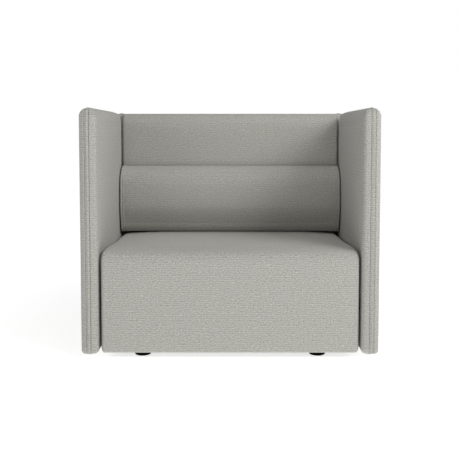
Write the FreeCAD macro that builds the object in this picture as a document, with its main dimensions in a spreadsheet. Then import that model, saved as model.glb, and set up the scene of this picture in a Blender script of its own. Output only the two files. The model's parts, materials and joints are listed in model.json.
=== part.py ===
import FreeCAD, Part
import math
import os
import re

import Sketcher
from FreeCAD import Placement, Rotation, Vector

# High-sided upholstered lounge chair: two side panels and a back of timber, foam and woven fabric, screwed
# to a webbed seat that stands on four levelling feet, with a loose lumbar bolster on the seat.
# Millimetres. +Z is up from the floor, -Y is the front, and left (-X) and right are as seen from the front.

SIZES = {
    # the chair as a whole
    "overall_width": 1200,
    "overall_depth": 820,
    "overall_height": 1010,
    "panel_floor_gap": 20,
    # fabric, seams and the room between soft layers
    "cover_thickness": 2,
    "soft_clearance": 0.3,
    "welt_width": 3,
    "welt_proud": 2.5,
    # side panels and back
    "panel_thickness": 70,
    "back_thickness": 130,
    "panel_seam_inset": 31,
    "panel_corner_round": 34,
    "panel_outer_round": 28,
    "panel_inner_round": 35,
    "panel_base_round": 18,
    "back_top_round": 60,
    "back_end_round": 24,
    "panel_edge_foam": 15.7,
    "panel_outer_foam": 14.7,
    "board_thickness": 4,
    "frame_thickness": 28,
    "stile_width": 80,
    # seat
    "seat_height": 440,
    "seat_crown": 6,
    "seat_setback": 10,
    "seat_lift": 1.5,
    "seat_side_gap": 1,
    "seat_front_round": 60,
    "seat_side_round": 44,
    "seat_corner_round": 10,
    "seat_base_round": 12,
    "seat_seam_inset": 8,
    "seat_turn_under": 30,
    "seat_front_foam": 18,
    "seat_top_foam": 22,
    "seat_side_foam": 10,
    "rail_thickness": 25,
    "rail_height": 250,
    "corner_block_leg": 45,
    "corner_block_height": 150,
    "stretcher_height": 60,
    "webbing_width": 60,
    "webbing_thickness": 2,
    "dust_cover_thickness": 1,
    # lumbar bolster
    "bolster_height": 312,
    "bolster_depth": 136,
    "bolster_top_depth": 120,
    "bolster_crown": 5,
    "bolster_top_round": 92,
    "bolster_front_round": 34,
    "bolster_rear_round": 14,
    "bolster_end_gap": 3,
    "bolster_cap_thickness": 10,
    "bolster_cap_round": 9,
    # coach screws and timber packers between the seat frame and the panels
    "screw_diameter": 8,
    "screw_head_diameter": 15,
    "screw_head_height": 6,
    "screw_bite": 20,
    "screw_inset": 30,
    "screw_height": 215,
    "back_screw_inset": 229,
    "packer_size": 50,
    "hole_clearance": 0.3,
    # levelling feet
    "foot_diameter": 66,
    "foot_height": 14,
    "foot_floor": 5,
    "foot_side_inset": 169,
    "foot_inset": 75,
    "foot_board_width": 110,
    "foot_board_thickness": 25,
    "stem_diameter": 10,
    "stem_reach": 45,
    "foot_plate_width": 40,
    "foot_plate_thickness": 4,
    "running_clearance": 0.05,
    "end_play": 0.1,
}
LENGTHWISE_STRAPS = 7
CROSSWISE_STRAPS = 5
HEX_SIDES = 6

doc = FreeCAD.newDocument("lounge_chair")
sheet = doc.addObject("Spreadsheet::Sheet", "Dims")
for row, (alias, size) in enumerate(SIZES.items(), start=1):
    sheet.set(f"A{row}", alias)
    sheet.set(f"B{row}", str(size))
    sheet.setAlias(f"B{row}", alias)
doc.recompute()

sub_parts = []


def bound(text):
    return re.sub(r"[a-z_]+", lambda word: "Dims." + word.group(), text)


def number(text):
    plain = re.sub(r"[a-z_]+", lambda word: str(SIZES[word.group()]), text)
    return FreeCAD.Units.Quantity(plain).Value


def keep(shape_object, label):
    shape_object.Label = label
    sub_parts.append(shape_object)


# Places that several pieces share, worked out from the sizes above.
SKIN = "(cover_thickness + soft_clearance)"
HALF_WIDTH = "(overall_width / 2)"
HALF_DEPTH = "(overall_depth / 2)"
PANEL_LOW = "(panel_floor_gap + welt_proud)"
PANEL_HIGH = "(overall_height - welt_proud)"
PANEL_FACE = f"({HALF_WIDTH} - panel_thickness)"
BACK_FACE = f"({HALF_DEPTH} - back_thickness)"
CORE_EDGE = f"({SKIN} + panel_edge_foam)"
CORE_DEPTH = f"({SKIN} + panel_outer_foam)"
FRAME_OUTER = f"({CORE_DEPTH} + board_thickness)"
FRAME_INNER = f"({FRAME_OUTER} + frame_thickness)"
CORE_INNER = f"({FRAME_INNER} + board_thickness)"
CORE_LOW = f"({PANEL_LOW} + {CORE_EDGE})"
CORE_HIGH = f"({PANEL_HIGH} - {CORE_EDGE})"
SIDE_FRAME_FACE = f"({HALF_WIDTH} - {FRAME_INNER})"
BACK_FRAME_FACE = f"({HALF_DEPTH} - {FRAME_INNER})"

SEAT_HALF = f"({PANEL_FACE} - seat_side_gap)"
SEAT_FRONT = f"(seat_setback - {HALF_DEPTH})"
SEAT_REAR = f"({BACK_FACE} - soft_clearance)"
SEAT_LOW = f"({PANEL_LOW} + seat_lift)"
SEAT_EDGE = "(seat_height - seat_crown)"
RAIL_HALF = f"({SEAT_HALF} - {SKIN} - seat_side_foam)"
RAIL_FRONT = f"({SEAT_FRONT} + {SKIN} + seat_front_foam)"
RAIL_REAR = f"({SEAT_REAR} - {SKIN})"
RAIL_LOW = f"({SEAT_LOW} + {SKIN})"
RAIL_HIGH = f"({RAIL_LOW} + rail_height)"
BAY_FRONT = f"({RAIL_FRONT} + rail_thickness)"
BAY_REAR = f"({RAIL_REAR} - rail_thickness)"
BAY_HALF = f"({RAIL_HALF} - rail_thickness)"
STRAPS_LOW = f"({RAIL_HIGH} + webbing_thickness)"
STRAPS_HIGH = f"({STRAPS_LOW} + webbing_thickness)"
CORE_TOP = f"({SEAT_EDGE} - {SKIN} - seat_top_foam)"

BOLSTER_HALF = f"({PANEL_FACE} - bolster_end_gap)"
BOLSTER_LOW = "(seat_height + soft_clearance)"
BOLSTER_HIGH = f"({BOLSTER_LOW} + bolster_height)"
BOLSTER_REAR = f"({BACK_FACE} - soft_clearance)"
BOLSTER_FOOT = f"({BOLSTER_REAR} - bolster_depth)"
BOLSTER_SEAM = f"({BOLSTER_HALF} - bolster_cap_thickness - welt_width)"

SCREW_RADIUS = "(screw_diameter / 2)"
SCREW_HOLE = f"({SCREW_RADIUS} + hole_clearance)"
SIDE_SCREWS = (f"({BAY_FRONT} + screw_inset)", f"({BAY_REAR} - screw_inset)")
BACK_SCREWS = (f"(back_screw_inset - {SEAT_HALF})", f"({SEAT_HALF} - back_screw_inset)")

STEM_RADIUS = "(stem_diameter / 2)"
STEM_BORE = f"({STEM_RADIUS} + running_clearance)"
FOOT_PLATE_LOW = f"({RAIL_LOW} - foot_plate_thickness)"
FOOT_X = f"({SEAT_HALF} - foot_side_inset)"
FOOT_SPOTS = {
    "front_left": (f"(-{FOOT_X})", f"({SEAT_FRONT} + foot_inset)"),
    "front_right": (FOOT_X, f"({SEAT_FRONT} + foot_inset)"),
    "rear_left": (f"(-{FOOT_X})", f"({SEAT_REAR} - foot_inset)"),
    "rear_right": (FOOT_X, f"({SEAT_REAR} - foot_inset)"),
}

PLANES = {"x": "YZ_Plane", "y": "XZ_Plane", "z": "XY_Plane"}
LOW, HIGH = -1, 1
ALL_CORNERS = ((LOW, LOW), (LOW, HIGH), (HIGH, LOW), (HIGH, HIGH))


def place(shape_object, x, y, z, rotation=None):
    if rotation:
        shape_object.Placement = Placement(Vector(), rotation)
    for axis, text in zip("xyz", (x, y, z)):
        shape_object.setExpression(f"Placement.Base.{axis}", bound(text))


def block(name, x, y, z):
    """A box between the low and high place of each axis."""
    box = doc.addObject("Part::Box", name)
    for side, (low, high) in zip(("Length", "Width", "Height"), (x, y, z)):
        box.setExpression(side, bound(f"{high} - {low}"))
    place(box, x[0], y[0], z[0])
    return box


def rod(name, axis, span, centre, radius, sides=None):
    """A cylinder, or a prism of so many sides, along one axis; centre holds the other two places."""
    low, high = span
    shaft = doc.addObject("Part::Prism" if sides else "Part::Cylinder", name)
    if sides:
        shaft.Polygon = sides
    shaft.setExpression("Circumradius" if sides else "Radius", bound(radius))
    shaft.setExpression("Height", bound(f"{high} - {low}"))
    a, b = centre
    if axis == "x":
        place(shaft, low, a, b, Rotation(Vector(0, 1, 0), 90))
    elif axis == "y":
        place(shaft, a, low, b, Rotation(Vector(1, 0, 0), -90))
    else:
        place(shaft, a, b, low)
    return shaft


def group(name, pieces):
    compound = doc.addObject("Part::Compound", name)
    compound.Links = pieces
    return compound


def joined(name, pieces):
    fusion = doc.addObject("Part::MultiFuse", name)
    fusion.Shapes = pieces
    return fusion


def common(name, pieces):
    overlap = doc.addObject("Part::MultiCommon", name)
    overlap.Shapes = pieces
    return overlap


def less(name, base, tool):
    cut = doc.addObject("Part::Cut", name)
    cut.Base = base
    cut.Tool = tool
    return cut


def mirror(name, source):
    """The same piece on the other side of the chair."""
    image = doc.addObject("Part::Mirroring", name)
    image.Source = source
    image.Normal = Vector(1, 0, 0)
    return image


def mirrored(sign, low, high):
    """The span as it is on the right, or its mirror image on the left."""
    return (low, high) if sign > 0 else (f"(-{high})", f"(-{low})")


def around(centre, half):
    return (f"({centre} - {half})", f"({centre} + {half})")


def drawn_in(span, inset):
    return (f"({span[0]} + {inset})", f"({span[1]} - {inset})")


def outline(body, axis, points, bulges):
    """A closed sketch square to the axis; a bulge turns the side after its point into a convex arc."""
    sketch = body.newObject("Sketcher::SketchObject", body.Name + "_outline")
    plane = next(f for f in body.Origin.OriginFeatures if f.Role == PLANES[axis])
    sketch.AttachmentSupport = [(plane, "")]
    sketch.MapMode = "FlatFace"
    spots = [Vector(number(u), number(v), 0) for u, v in points]
    count = len(points)
    for i, start in enumerate(spots):
        end = spots[(i + 1) % count]
        if i in bulges:
            sagitta = number(bulges[i])
            chord = end - start
            radius = (chord.Length**2 / 4 + sagitta**2) / (2 * sagitta)
            inward = Vector(-chord.y, chord.x, 0).normalize()
            centre = (start + end) * 0.5 + inward * (radius - sagitta)
            turn = [math.atan2(p.y - centre.y, p.x - centre.x) for p in (start, end)]
            circle = Part.Circle(centre, Vector(0, 0, 1), radius)
            sketch.addGeometry(Part.ArcOfCircle(circle, *turn), False)
        else:
            sketch.addGeometry(Part.LineSegment(start, end), False)
    for i in range(count):
        sketch.addConstraint(Sketcher.Constraint("Coincident", i, 2, (i + 1) % count, 1))
    for i, (point, spot) in enumerate(zip(points, spots)):
        for kind, text, value in zip(("DistanceX", "DistanceY"), point, spot):
            index = sketch.addConstraint(Sketcher.Constraint(kind, -1, 1, i, 1, value))
            sketch.setExpression(f"Constraints[{index}]", bound(text))
    for i, sagitta in bulges.items():
        (u1, v1), (u2, v2) = points[i], points[(i + 1) % count]
        chord_squared = f"(({u2} - {u1})^2 + ({v2} - {v1})^2)"
        radius = f"({chord_squared} / 4 + {sagitta}^2) / (2 * {sagitta})"
        value = sketch.Geometry[i].Radius
        index = sketch.addConstraint(Sketcher.Constraint("Radius", i, value))
        sketch.setExpression(f"Constraints[{index}]", bound(radius))
    return sketch


def extrusion(name, axis, points, span, bulges=None):
    """A body padded along the axis from the low to the high place."""
    low, high = span
    body = doc.addObject("PartDesign::Body", name)
    sketch = outline(body, axis, points, bulges or {})
    # the XZ plane looks towards -Y, so its pad starts at the high place
    sketch.setExpression("AttachmentOffset.Base.z", bound(f"-{high}" if axis == "y" else low))
    pad = body.newObject("PartDesign::Pad", name + "_pad")
    pad.Profile = sketch
    pad.setExpression("Length", bound(f"{high} - {low}"))
    doc.recompute()
    return body


def ends_of(box, axis):
    return {"x": (box.XMin, box.XMax), "y": (box.YMin, box.YMax), "z": (box.ZMin, box.ZMax)}[axis]


def round_corners(body, axis, radius, corners):
    """Rounds the edges along the axis at corners given as low or high on the other two axes."""
    base = body.Tip
    whole = base.Shape.BoundBox
    across = [a for a in "xyz" if a != axis]

    def chosen(box):
        if any(abs(a - b) > 1e-3 for a, b in zip(ends_of(box, axis), ends_of(whole, axis))):
            return False
        sides = tuple(HIGH if sum(ends_of(box, a)) > sum(ends_of(whole, a)) else LOW for a in across)
        return sides in corners

    fillet = body.newObject("PartDesign::Fillet", body.Name + "_round")
    fillet.Base = (base, [f"Edge{i}" for i, e in enumerate(base.Shape.Edges, start=1) if chosen(e.BoundBox)])
    fillet.setExpression("Radius", bound(radius))
    doc.recompute()


def rounded_prism(name, axis, spans, rounds, crown=None):
    """A box along the axis with rounded corners; a crown raises its top side in an arc."""
    (u0, u1), (v0, v1) = [spans[a] for a in "xyz" if a != axis]
    points = [(u0, v0), (u1, v0), (u1, v1), (u0, v1)]
    body = extrusion(name, axis, points, spans[axis], {2: crown} if crown else {})
    for radius, corners in rounds:
        round_corners(body, axis, radius, corners)
    return body


def cushion(name, spans, rounds, crown=None):
    """A soft block: what three boxes share, each rounded along its own axis."""
    prisms = []
    for axis in "xyz":
        room = dict(spans)
        if crown and axis != "x":
            room["z"] = (spans["z"][0], f"({spans['z'][1]} + {crown})")
        raised = crown if axis == "x" else None
        prisms.append(rounded_prism(f"{name}_{axis}", axis, room, rounds[axis], raised))
    return common(name, prisms)


# Fastening: coach screws go through the seat rails and a packer each into the timber frame of the panels.


def side_blocks(name, x, half):
    spots = [(sign, spot) for sign in (LOW, HIGH) for spot in SIDE_SCREWS]
    return [block(f"{name}_{i}", mirrored(sign, *x), around(spot, half), around("screw_height", half))
            for i, (sign, spot) in enumerate(spots)]


def back_blocks(name, y, half):
    return [block(f"{name}_{i}", around(spot, half), y, around("screw_height", half))
            for i, spot in enumerate(BACK_SCREWS)]


def side_rods(name, x, radius, sides=None):
    spots = [(sign, spot) for sign in (LOW, HIGH) for spot in SIDE_SCREWS]
    return [rod(f"{name}_{i}", "x", mirrored(sign, *x), (spot, "screw_height"), radius, sides)
            for i, (sign, spot) in enumerate(spots)]


def back_rods(name, y, radius, sides=None):
    return [rod(f"{name}_{i}", "y", y, (spot, "screw_height"), radius, sides)
            for i, spot in enumerate(BACK_SCREWS)]


PACKER_ROOM = "(packer_size / 2 + hole_clearance)"
SIDE_PACKER = (RAIL_HALF, SIDE_FRAME_FACE)
BACK_PACKER = (RAIL_REAR, BACK_FRAME_FACE)
packer_rooms = group("packer_rooms", side_blocks("side_packer_room", SIDE_PACKER, PACKER_ROOM)
                     + back_blocks("back_packer_room", BACK_PACKER, PACKER_ROOM))
clearance_holes = group("clearance_holes", side_rods("side_hole", (BAY_HALF, SIDE_FRAME_FACE), SCREW_HOLE)
                        + back_rods("back_hole", (BAY_REAR, BACK_FRAME_FACE), SCREW_HOLE))
SIDE_BITE = (SIDE_FRAME_FACE, f"({SIDE_FRAME_FACE} + screw_bite)")
BACK_BITE = (BACK_FRAME_FACE, f"({BACK_FRAME_FACE} + screw_bite)")
PILOT_HOLE = f"({SCREW_RADIUS} + running_clearance)"
pilot_holes = group("pilot_holes", side_rods("side_pilot", SIDE_BITE, PILOT_HOLE)
                    + back_rods("back_pilot", BACK_BITE, PILOT_HOLE))


def build_fastening():
    packers = side_blocks("side_packer", SIDE_PACKER, "packer_size / 2")
    packers += back_blocks("back_packer", BACK_PACKER, "packer_size / 2")
    keep(less("panel_packers", group("packer_blanks", packers), clearance_holes), "panel_packers")

    head_radius = "(screw_head_diameter / 2)"
    heads = side_rods("side_head", (f"({BAY_HALF} - screw_head_height)", BAY_HALF), head_radius, HEX_SIDES)
    heads += back_rods("back_head", (f"({BAY_REAR} - screw_head_height)", BAY_REAR), head_radius, HEX_SIDES)
    shanks = side_rods("side_shank", (BAY_HALF, SIDE_BITE[1]), SCREW_RADIUS)
    shanks += back_rods("back_shank", (BAY_REAR, BACK_BITE[1]), SCREW_RADIUS)
    screws = [joined(f"panel_screw_{i}", pair) for i, pair in enumerate(zip(heads, shanks))]
    keep(group("panel_screws", screws), "panel_screws")


# Side panels and back: t runs through the thickness, with the outer face at its high end, and l along it.


class Panel:
    def __init__(self, name, thick, outer, face, length, inner_rounds):
        self.name = name
        self.thick = thick
        self.long = "y" if thick == "x" else "x"
        self.outer = outer
        self.face = face
        self.length = length
        self.inner_rounds = inner_rounds
        self.seam = f"({outer} - panel_seam_inset)"

    def spans(self, t, inset):
        return {self.thick: t, self.long: drawn_in(self.length, inset),
                "z": drawn_in((PANEL_LOW, PANEL_HIGH), inset)}

    def slab(self, name, deep, shallow, l, z):
        """A box between two depths below the outer face."""
        t = (f"({self.outer} - {deep})", f"({self.outer} - {shallow})")
        spans = {self.thick: t, self.long: l, "z": z}
        return block(name, spans["x"], spans["y"], spans["z"])

    def half(self, name, side, start, inset):
        """One cushioned half, from the seam to its outer (high) or inner (low) face."""
        if side == HIGH:
            t = (start, f"({self.outer} - {inset})")
            top, end = "panel_outer_round", "panel_outer_round"
        else:
            t = (f"({self.face} + {inset})", start)
            top, end = self.inner_rounds
        upright = [(side, LOW), (side, HIGH)] if self.thick == "x" else [(LOW, side), (HIGH, side)]
        rounds = {
            self.thick: [(f"panel_corner_round - {inset}", ALL_CORNERS)],
            self.long: [(f"{top} - {inset}", [(side, HIGH)]), (f"panel_base_round - {inset}", [(side, LOW)])],
            "z": [(f"{end} - {inset}", upright)],
        }
        return cushion(f"{self.name}_{name}", self.spans(t, inset), rounds)

    def ring(self, name, inset):
        t = around(self.seam, "welt_width / 2")
        return rounded_prism(f"{self.name}_{name}", self.thick, self.spans(t, inset),
                             [(f"panel_corner_round - {inset}", ALL_CORNERS)])


def build_panel(panel):
    name = panel.name

    # covers: thin shells that meet the welt at the seam
    start = f"({panel.seam} + welt_width / 2)"
    outer_cover = less(f"{name}_outer_cover", panel.half("outside", HIGH, start, "0"),
                       panel.half("outside_room", HIGH, start, "cover_thickness"))
    start = f"({panel.seam} - welt_width / 2)"
    inside_shell = less(f"{name}_inside_shell", panel.half("inside", LOW, start, "0"),
                        panel.half("inside_room", LOW, start, "cover_thickness"))
    inner_cover = less(f"{name}_inner_cover", inside_shell, packer_rooms)
    welt = less(f"{name}_welt", panel.ring("welt_outside", "(0 - welt_proud)"),
                panel.ring("welt_inside", "cover_thickness"))

    # foam: fills each half round the timber core
    tall = (CORE_LOW, CORE_HIGH)
    core_l = drawn_in(panel.length, CORE_EDGE)
    core_room = panel.slab(f"{name}_core_room", CORE_INNER, CORE_DEPTH, core_l, tall)
    outer_foam = less(f"{name}_outer_foam", panel.half("outside_fill", HIGH, panel.seam, SKIN), core_room)
    inner_foam = less(f"{name}_inner_foam", panel.half("inside_fill", LOW, panel.seam, SKIN),
                      group(f"{name}_foam_rooms", [core_room, packer_rooms]))

    # boards: the outer one covers the frame, the inner one the part of it above the packers
    board_low = f"(screw_height + {PACKER_ROOM})"
    inner_board = panel.slab(f"{name}_inner_board", CORE_INNER, FRAME_INNER, core_l, (board_low, CORE_HIGH))
    outer_board = panel.slab(f"{name}_outer_board", FRAME_OUTER, CORE_DEPTH, core_l, tall)

    # timber frame: two stiles, and rails at the foot, at the seat frame, half way up and at the top
    between = drawn_in(core_l, "stile_width")
    stiles = [panel.slab(f"{name}_stile_{i}", FRAME_INNER, FRAME_OUTER, l, tall)
              for i, l in enumerate(((core_l[0], between[0]), (between[1], core_l[1])))]
    foot = f"({CORE_LOW} + stile_width / 2)"
    top = f"({CORE_HIGH} - stile_width / 2)"
    levels = (foot, "screw_height", f"((screw_height + {top}) / 2)", top)
    rails = []
    for i, level in enumerate(levels):
        z = around(level, "stile_width / 2")
        rails.append(panel.slab(f"{name}_rail_{i}", FRAME_INNER, FRAME_OUTER, between, z))
    stiles = less(f"{name}_stiles", group(f"{name}_stile_blanks", stiles), pilot_holes)
    rails = less(f"{name}_rails", group(f"{name}_rail_blanks", rails), pilot_holes)

    return {"outer_cover": outer_cover, "inner_cover": inner_cover, "welt": welt, "outer_foam": outer_foam,
            "inner_foam": inner_foam, "inner_board": inner_board, "outer_board": outer_board,
            "stiles": stiles, "rails": rails}


def build_panels():
    side_length = (f"(welt_proud - {HALF_DEPTH})", f"({BACK_FACE} - soft_clearance - welt_proud)")
    side_rounds = ("panel_inner_round", "panel_inner_round")
    side = Panel("right_panel", "x", HALF_WIDTH, PANEL_FACE, side_length, side_rounds)
    for piece, made in build_panel(side).items():
        keep(made, f"right_panel_{piece}")
        keep(mirror(f"left_panel_{piece}", made), f"left_panel_{piece}")
    back_length = (f"(welt_proud - {HALF_WIDTH})", f"({HALF_WIDTH} - welt_proud)")
    back_rounds = ("back_top_round", "back_end_round")
    back = Panel("back", "y", HALF_DEPTH, BACK_FACE, back_length, back_rounds)
    for piece, made in build_panel(back).items():
        keep(made, f"back_{piece}")


# Seat: a timber box with webbing, a foam block and a foam wrap, under a cover sewn from a front and top
# piece and two side pieces.


def seat_form(name, inset):
    """The seat's rounded block, crowned on top, drawn in by the inset."""
    spans = {
        "x": drawn_in((f"(-{SEAT_HALF})", SEAT_HALF), inset),
        "y": drawn_in((SEAT_FRONT, SEAT_REAR), inset),
        "z": drawn_in((SEAT_LOW, SEAT_EDGE), inset),
    }
    rounds = {
        "x": [(f"seat_front_round - {inset}", [(LOW, HIGH)]), (f"seat_base_round - {inset}", [(LOW, LOW)])],
        "y": [(f"seat_side_round - {inset}", [(LOW, HIGH), (HIGH, HIGH)]),
              (f"seat_base_round - {inset}", [(LOW, LOW), (HIGH, LOW)])],
        "z": [(f"seat_corner_round - {inset}", [(LOW, LOW), (HIGH, LOW)])],
    }
    return cushion(name, spans, rounds, "seat_crown")


def build_seat_frame():
    tall = (RAIL_LOW, RAIL_HIGH)
    across = (f"(-{RAIL_HALF})", RAIL_HALF)
    bay = (BAY_FRONT, BAY_REAR)
    keep(block("seat_front_rail", across, (RAIL_FRONT, BAY_FRONT), tall), "seat_front_rail")
    rear_rail = block("seat_rear_rail_blank", across, (BAY_REAR, RAIL_REAR), tall)
    keep(less("seat_rear_rail", rear_rail, clearance_holes), "seat_rear_rail")
    side_rail = block("seat_side_rail_blank", (BAY_HALF, RAIL_HALF), bay, (RAIL_LOW, STRAPS_LOW))
    right_rail = less("seat_right_rail", side_rail, clearance_holes)
    keep(right_rail, "seat_right_rail")
    keep(mirror("seat_left_rail", right_rail), "seat_left_rail")
    keep(block("seat_centre_stretcher", around("0", "rail_thickness / 2"), bay,
               (RAIL_LOW, f"({RAIL_LOW} + stretcher_height)")), "seat_centre_stretcher")

    # three-cornered blocks glued into the corners of the box, below the screws
    blocks = []
    block_z = (RAIL_LOW, f"({RAIL_LOW} + corner_block_height)")
    inner_x = f"({BAY_HALF} - corner_block_leg)"
    for end, edge, sign in (("front", BAY_FRONT, HIGH), ("rear", BAY_REAR, LOW)):
        inner_y = f"({edge} + {sign} * corner_block_leg)"
        points = [(BAY_HALF, edge), (BAY_HALF, inner_y), (inner_x, edge)]
        corner = extrusion(f"{end}_corner_block", "z", points, block_z)
        blocks += [corner, mirror(f"{end}_left_corner_block", corner)]
    keep(group("seat_corner_blocks", blocks), "seat_corner_blocks")

    # boards that carry the feet, drilled for their stems
    board_z = (RAIL_LOW, f"({RAIL_LOW} + foot_board_thickness)")
    boards = [block(f"foot_board_{i}", around(f"({sign} * {FOOT_X})", "foot_board_width / 2"), bay, board_z)
              for i, sign in enumerate((LOW, HIGH))]
    drills = [rod(f"{spot}_foot_hole", "z", board_z, centre, f"({STEM_RADIUS} + hole_clearance)")
              for spot, centre in FOOT_SPOTS.items()]
    keep(less("seat_foot_boards", group("foot_board_blanks", boards), group("foot_holes", drills)),
         "seat_foot_boards")


def build_seat_padding():
    # straps from front to rear lie on the front and rear rails, and straps across lie on those
    across = (f"(-{RAIL_HALF})", RAIL_HALF)
    along = (RAIL_FRONT, RAIL_REAR)
    half_strap = "webbing_width / 2"
    lengthwise, crosswise = [], []
    for i in range(LENGTHWISE_STRAPS):
        centre = f"({BAY_HALF} * {2 * (i + 1) - LENGTHWISE_STRAPS - 1} / {LENGTHWISE_STRAPS + 1})"
        x = around(centre, half_strap)
        lengthwise.append(block(f"lengthwise_{i}", x, along, (RAIL_HIGH, STRAPS_LOW)))
    for i in range(CROSSWISE_STRAPS):
        centre = f"({BAY_FRONT} + ({BAY_REAR} - {BAY_FRONT}) * {i + 1} / {CROSSWISE_STRAPS + 1})"
        y = around(centre, half_strap)
        crosswise.append(block(f"crosswise_{i}", across, y, (STRAPS_LOW, STRAPS_HIGH)))
    keep(group("seat_webbing_lengthwise", lengthwise), "seat_webbing_lengthwise")
    keep(group("seat_webbing_crosswise", crosswise), "seat_webbing_crosswise")
    keep(block("seat_foam_core", across, along, (STRAPS_HIGH, CORE_TOP)), "seat_foam_core")
    room = block("seat_core_room", across, (RAIL_FRONT, SEAT_REAR), (SEAT_LOW, CORE_TOP))
    keep(less("seat_foam_wrap", seat_form("seat_fill", SKIN), group("seat_wrap_rooms", [room, packer_rooms])),
         "seat_foam_wrap")


def build_seat_cover():
    shell = less("seat_shell", seat_form("seat_outside", "0"), seat_form("seat_inside", "cover_thickness"))
    # the cloth is turned under the frame by a narrow hem, and the dust cover closes what is left
    turned = "(cover_thickness + seat_turn_under)"
    opening_x = drawn_in((f"(-{SEAT_HALF})", SEAT_HALF), turned)
    opening_y = drawn_in((SEAT_FRONT, SEAT_REAR), turned)
    opening = block("seat_opening", opening_x, opening_y, (f"({SEAT_LOW} - cover_thickness)", RAIL_LOW))
    open_shell = less("seat_open_shell", shell, group("seat_shell_rooms", [opening, packer_rooms]))

    seam = f"({SEAT_HALF} - seat_seam_inset)"
    middle_half = f"({seam} - welt_width / 2)"
    side_start = f"({seam} + welt_width / 2)"
    depth = drawn_in((SEAT_FRONT, SEAT_REAR), "(0 - cover_thickness)")
    tall = drawn_in((SEAT_LOW, "seat_height"), "(0 - cover_thickness)")
    middle_room = block("seat_middle_room", (f"(-{middle_half})", middle_half), depth, tall)
    keep(common("seat_cover", [open_shell, middle_room]), "seat_cover")
    side_room = block("seat_side_room", (side_start, f"({SEAT_HALF} + cover_thickness)"), depth, tall)
    side = common("seat_right_side_cover", [open_shell, side_room])
    keep(side, "seat_right_side_cover")
    keep(mirror("seat_left_side_cover", side), "seat_left_side_cover")
    welt_room = block("seat_welt_room", (middle_half, side_start), depth, tall)
    welt = common("seat_right_welt", [open_shell, welt_room])
    keep(group("seat_welts", [welt, mirror("seat_left_welt", welt)]), "seat_welts")

    sheet_z = (f"({RAIL_LOW} - dust_cover_thickness)", RAIL_LOW)
    dust = block("dust_sheet", drawn_in(opening_x, "soft_clearance"),
                 drawn_in(opening_y, "soft_clearance"), sheet_z)
    window = "(foot_plate_width / 2 + hole_clearance)"
    windows = [block(f"{spot}_dust_window", around(x, window), around(y, window), sheet_z)
               for spot, (x, y) in FOOT_SPOTS.items()]
    keep(less("seat_dust_cover", dust, group("dust_windows", windows)), "seat_dust_cover")


# Lumbar bolster: a loaf-shaped roll with a flat back and foot, in a wrap with a welt and a cap at each end.


def bolster_form(name, inset, x):
    rear = f"({BOLSTER_REAR} - {inset})"
    low = f"({BOLSTER_LOW} + {inset})"
    high = f"({BOLSTER_HIGH} - {inset})"
    foot = f"({BOLSTER_FOOT} + {inset})"
    brow = f"({BOLSTER_REAR} - bolster_top_depth + {inset})"
    points = [(foot, low), (rear, low), (rear, high), (brow, high)]
    body = extrusion(name, "x", points, x, {3: "bolster_crown"})
    round_corners(body, "x", f"bolster_top_round - {inset}", [(LOW, HIGH)])
    round_corners(body, "x", f"bolster_front_round - {inset}", [(LOW, LOW)])
    round_corners(body, "x", f"bolster_rear_round - {inset}", [(HIGH, LOW), (HIGH, HIGH)])
    return body


def build_bolster():
    wrap_x = (f"(-{BOLSTER_SEAM})", BOLSTER_SEAM)
    keep(less("bolster_wrap", bolster_form("bolster_outside", "0", wrap_x),
              bolster_form("bolster_inside", "cover_thickness", wrap_x)), "bolster_wrap")
    keep(bolster_form("bolster_core", SKIN, wrap_x), "bolster_core")
    cap_start = f"({BOLSTER_SEAM} + welt_width)"
    welt_x = (BOLSTER_SEAM, cap_start)
    welt = less("bolster_right_welt", bolster_form("bolster_welt_outside", "0", welt_x),
                bolster_form("bolster_welt_inside", "(2 * cover_thickness)", welt_x))
    keep(group("bolster_welts", [welt, mirror("bolster_left_welt", welt)]), "bolster_welts")

    # the end caps are drawn in above, below and in front
    spans = {"x": (cap_start, BOLSTER_HALF), "y": (f"({BOLSTER_FOOT} - bolster_crown)", BOLSTER_REAR),
             "z": (BOLSTER_LOW, BOLSTER_HIGH)}
    cap = common("bolster_right_cap", [
        bolster_form("bolster_cap_blank", "0", spans["x"]),
        rounded_prism("bolster_cap_y", "y", spans, [("bolster_cap_round", [(HIGH, LOW), (HIGH, HIGH)])]),
        rounded_prism("bolster_cap_z", "z", spans, [("bolster_cap_round", [(HIGH, LOW)])]),
    ])
    keep(group("bolster_end_caps", [cap, mirror("bolster_left_cap", cap)]), "bolster_end_caps")


# Levelling feet: a round pad that turns freely on the end of a stem, which screws through a steel plate.


def build_feet():
    plates = []
    for spot, centre in FOOT_SPOTS.items():
        disc = rod(f"{spot}_disc", "z", ("0", "foot_height"), centre, "foot_diameter / 2")
        socket = rod(f"{spot}_socket", "z", ("foot_floor", "foot_height"), centre, STEM_BORE)
        keep(less(f"{spot}_foot_pad", disc, socket), f"{spot}_foot_pad")
        stem_z = ("(foot_floor + end_play)", f"({RAIL_LOW} + stem_reach)")
        keep(rod(f"{spot}_foot_stem", "z", stem_z, centre, STEM_RADIUS), f"{spot}_foot_stem")

        x, y = [around(place_on, "foot_plate_width / 2") for place_on in centre]
        plate_z = (FOOT_PLATE_LOW, RAIL_LOW)
        plate = block(f"{spot}_plate", x, y, plate_z)
        bore = rod(f"{spot}_plate_bore", "z", plate_z, centre, STEM_BORE)
        plates.append(less(f"{spot}_foot_plate", plate, bore))
    keep(group("foot_plates", plates), "foot_plates")


build_panels()
build_fastening()
build_seat_frame()
build_seat_padding()
build_seat_cover()
build_bolster()
build_feet()
doc.recompute()

for made in doc.Objects:
    if "Invalid" in made.State or "Error" in made.State:
        raise RuntimeError(f"{made.Name} could not be built: {made.State}")
for part in sub_parts:
    if part.Shape.isNull() or not part.Shape.isValid() or not part.Shape.Solids:
        raise RuntimeError(f"{part.Label} has no valid solid")

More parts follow.
